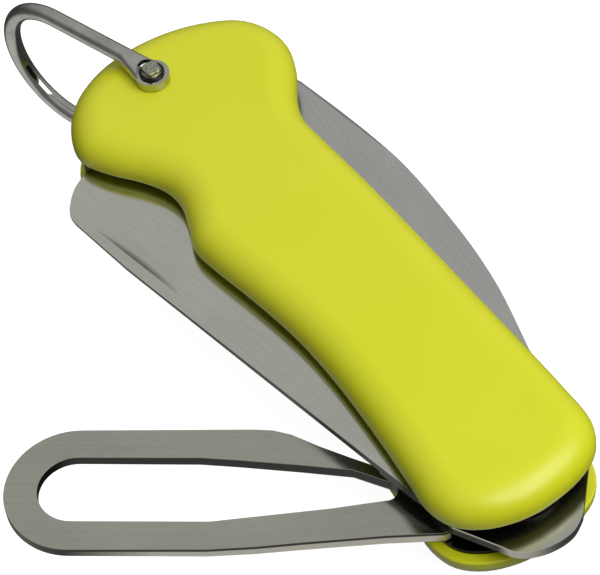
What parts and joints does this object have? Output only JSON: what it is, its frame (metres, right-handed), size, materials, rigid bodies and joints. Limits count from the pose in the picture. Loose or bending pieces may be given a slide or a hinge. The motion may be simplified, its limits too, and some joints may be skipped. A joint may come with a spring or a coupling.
{
  "type": "folding golfer's pocket tool",
  "caption": "Folding golfer's pocket tool: knife, divot fork and slotted loop share a pivot between moulded scales, with a wire bail at the wide head.",
  "frame": {"origin": "on the flat back of the rear scale, under the axis of the tools' pivot", "axes": "+X along the handle from the pivot to the bail, +Y towards the side the knife and the loop open to, +Z from the rear scale to the front scale"},
  "size_m": [0.1175, 0.0726, 0.0227],
  "materials": {
    "lime_plastic": "fine satin moulded plastic",
    "liner_steel": "blackened rolled sheet",
    "tool_steel": "satin, fine grain along each tool",
    "pin_steel": "turned",
    "washer_brass": "rolled",
    "bail_steel": "polished, with forged eyes"
  },
  "bodies": {
    "handle": {"front_scale": "lime_plastic", "rear_scale": "lime_plastic", "front_liner": "liner_steel", "rear_liner": "liner_steel", "pivot_pin": "pin_steel", "tension_washer": "pin_steel", "front_washer": "washer_brass", "knife_washer": "washer_brass", "fork_washer": "washer_brass", "rear_washer": "washer_brass", "stop_pin": "pin_steel", "head_spacer": "pin_steel", "head_rivets": "pin_steel", "front_scale_rivets": "pin_steel", "rear_scale_rivets": "pin_steel", "bail_pin": "bail_steel"},
    "knife": {"turf_knife": "tool_steel"},
    "fork": {"divot_fork": "tool_steel"},
    "loop": {"loop_tool": "tool_steel"},
    "bail": {"bail": "bail_steel"}
  },
  "joints": [
    {"name": "knife_hinge", "type": "hinge", "parent": "handle", "child": "knife", "pos_m": [0, 0, 0.01], "axis": [0, 0, 1], "range_deg": [-8.6, 171.4]},
    {"name": "fork_hinge", "type": "hinge", "parent": "handle", "child": "fork", "pos_m": [0, 0, 0.00815], "axis": [0, 0, 1], "range_deg": [-170.1, 9.9]},
    {"name": "loop_hinge", "type": "hinge", "parent": "handle", "child": "loop", "pos_m": [0, 0, 0.0062], "axis": [0, 0, 1], "range_deg": [-51.3, 128.7]},
    {"name": "bail_hinge", "type": "hinge", "parent": "handle", "child": "bail", "pos_m": [0.0792, 0.0005, 0.00805], "axis": [0, 0, 1], "range_deg": [-106.5, 73.5]}
  ]
}
